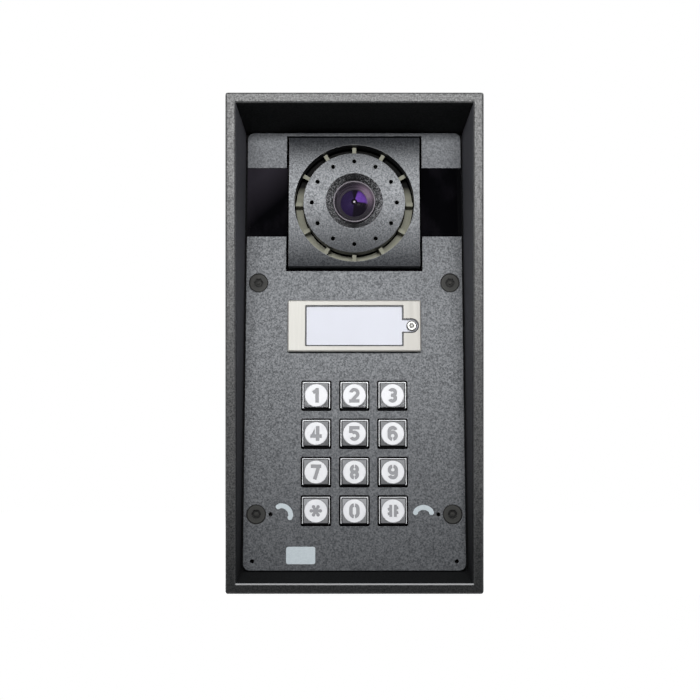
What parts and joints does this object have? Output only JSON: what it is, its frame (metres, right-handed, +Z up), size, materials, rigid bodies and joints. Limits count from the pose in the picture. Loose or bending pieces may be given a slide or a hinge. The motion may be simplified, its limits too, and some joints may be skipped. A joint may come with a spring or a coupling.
{
  "type": "door intercom panel",
  "caption": "Wall-mounted door intercom panel: deep slanted rain hood, camera block with ring groove and lens, night light windows, label call button and push keypad.",
  "frame": {"origin": "middle of the housing's back face, on the wall plane", "axes": "+Z up, +Y into the wall, so the front faces -Y and +X is to the right seen from the front"},
  "size_m": [0.111, 0.0829, 0.2136],
  "materials": {
    "cast_paint": "dark grey fine textured powder coat on cast aluminium",
    "foam": "closed cell foam",
    "rubber": "matt rubber",
    "plate_paint": "grey fine textured metallic paint on aluminium",
    "dark_steel": "blackened steel",
    "pale_print": "pale grey print",
    "steel": "bright steel",
    "black_gloss": "black polished acrylic",
    "circuit_board": "green solder mask",
    "diode_clear": "clear epoxy",
    "block_paint": "grey fine textured paint",
    "pale_ring": "pale beige matt plastic",
    "barrel_black": "black anodised",
    "lens_glass": "coated optical glass",
    "lens_coated": "violet coated optical glass",
    "chip": "black chip package",
    "cone_paper": "dark pressed paper",
    "magnet": "zinc plated magnet",
    "nickel": "brushed nickel",
    "clear_cover": "clear polycarbonate",
    "label_paper": "white paper",
    "black_plastic": "black moulded plastic",
    "silicone": "grey silicone",
    "terminal_green": "green moulded plastic",
    "key_chrome": "satin chrome plated metal",
    "key_white": "white translucent plastic"
  },
  "bodies": {
    "housing": {"housing": "cast_paint", "wall_gasket": "foam", "cable_grommet": "rubber", "blanking_plug": "rubber", "front_plate": "plate_paint", "panel_gasket": "foam", "panel_screws": "dark_steel", "printed_marks": "pale_print", "microphones": "steel", "ir_window_left": "black_gloss", "ir_window_right": "black_gloss", "ir_boards": "circuit_board", "ir_leds": "diode_clear", "camera_block": "block_paint", "acoustic_ring": "pale_ring", "lens_barrel": "barrel_black", "lens_dome": "lens_glass", "lens_element": "lens_coated", "camera_board": "circuit_board", "image_sensor": "chip", "camera_screws": "steel", "speaker_frame": "steel", "speaker_cone": "cone_paper", "speaker_magnet": "magnet", "keypad_mat": "silicone", "keypad_board": "circuit_board", "panel_board_screws": "steel", "main_board": "circuit_board", "board_screws": "steel", "terminal_block": "terminal_green", "ethernet_jack": "steel"},
    "call_button": {"button_frame": "nickel", "button_window": "clear_cover", "name_label": "label_paper", "window_screw": "steel", "button_carrier": "black_plastic"},
    "key_1": {"key_1_cap": "key_chrome", "key_1_lens": "key_white"},
    "key_2": {"key_2_cap": "key_chrome", "key_2_lens": "key_white"},
    "key_3": {"key_3_cap": "key_chrome", "key_3_lens": "key_white"},
    "key_4": {"key_4_cap": "key_chrome", "key_4_lens": "key_white"},
    "key_5": {"key_5_cap": "key_chrome", "key_5_lens": "key_white"},
    "key_6": {"key_6_cap": "key_chrome", "key_6_lens": "key_white"},
    "key_7": {"key_7_cap": "key_chrome", "key_7_lens": "key_white"},
    "key_8": {"key_8_cap": "key_chrome", "key_8_lens": "key_white"},
    "key_9": {"key_9_cap": "key_chrome", "key_9_lens": "key_white"},
    "key_star": {"key_star_cap": "key_chrome", "key_star_lens": "key_white"},
    "key_0": {"key_0_cap": "key_chrome", "key_0_lens": "key_white"},
    "key_hash": {"key_hash_cap": "key_chrome", "key_hash_lens": "key_white"}
  },
  "joints": [
    {"name": "call_button_press", "type": "slide", "parent": "housing", "child": "call_button", "axis": [0, 1, 0], "range_m": [0, 0.0012], "stiffness_N_per_m": 900, "deforming": ["keypad_mat"]},
    {"name": "key_1_press", "type": "slide", "parent": "housing", "child": "key_1", "axis": [0, 1, 0], "range_m": [0, 0.0012], "stiffness_N_per_m": 700, "deforming": ["keypad_mat"]},
    {"name": "key_2_press", "type": "slide", "parent": "housing", "child": "key_2", "axis": [0, 1, 0], "range_m": [0, 0.0012], "stiffness_N_per_m": 700, "deforming": ["keypad_mat"]},
    {"name": "key_3_press", "type": "slide", "parent": "housing", "child": "key_3", "axis": [0, 1, 0], "range_m": [0, 0.0012], "stiffness_N_per_m": 700, "deforming": ["keypad_mat"]},
    {"name": "key_4_press", "type": "slide", "parent": "housing", "child": "key_4", "axis": [0, 1, 0], "range_m": [0, 0.0012], "stiffness_N_per_m": 700, "deforming": ["keypad_mat"]},
    {"name": "key_5_press", "type": "slide", "parent": "housing", "child": "key_5", "axis": [0, 1, 0], "range_m": [0, 0.0012], "stiffness_N_per_m": 700, "deforming": ["keypad_mat"]},
    {"name": "key_6_press", "type": "slide", "parent": "housing", "child": "key_6", "axis": [0, 1, 0], "range_m": [0, 0.0012], "stiffness_N_per_m": 700, "deforming": ["keypad_mat"]},
    {"name": "key_7_press", "type": "slide", "parent": "housing", "child": "key_7", "axis": [0, 1, 0], "range_m": [0, 0.0012], "stiffness_N_per_m": 700, "deforming": ["keypad_mat"]},
    {"name": "key_8_press", "type": "slide", "parent": "housing", "child": "key_8", "axis": [0, 1, 0], "range_m": [0, 0.0012], "stiffness_N_per_m": 700, "deforming": ["keypad_mat"]},
    {"name": "key_9_press", "type": "slide", "parent": "housing", "child": "key_9", "axis": [0, 1, 0], "range_m": [0, 0.0012], "stiffness_N_per_m": 700, "deforming": ["keypad_mat"]},
    {"name": "key_star_press", "type": "slide", "parent": "housing", "child": "key_star", "axis": [0, 1, 0], "range_m": [0, 0.0012], "stiffness_N_per_m": 700, "deforming": ["keypad_mat"]},
    {"name": "key_0_press", "type": "slide", "parent": "housing", "child": "key_0", "axis": [0, 1, 0], "range_m": [0, 0.0012], "stiffness_N_per_m": 700, "deforming": ["keypad_mat"]},
    {"name": "key_hash_press", "type": "slide", "parent": "housing", "child": "key_hash", "axis": [0, 1, 0], "range_m": [0, 0.0012], "stiffness_N_per_m": 700, "deforming": ["keypad_mat"]}
  ]
}
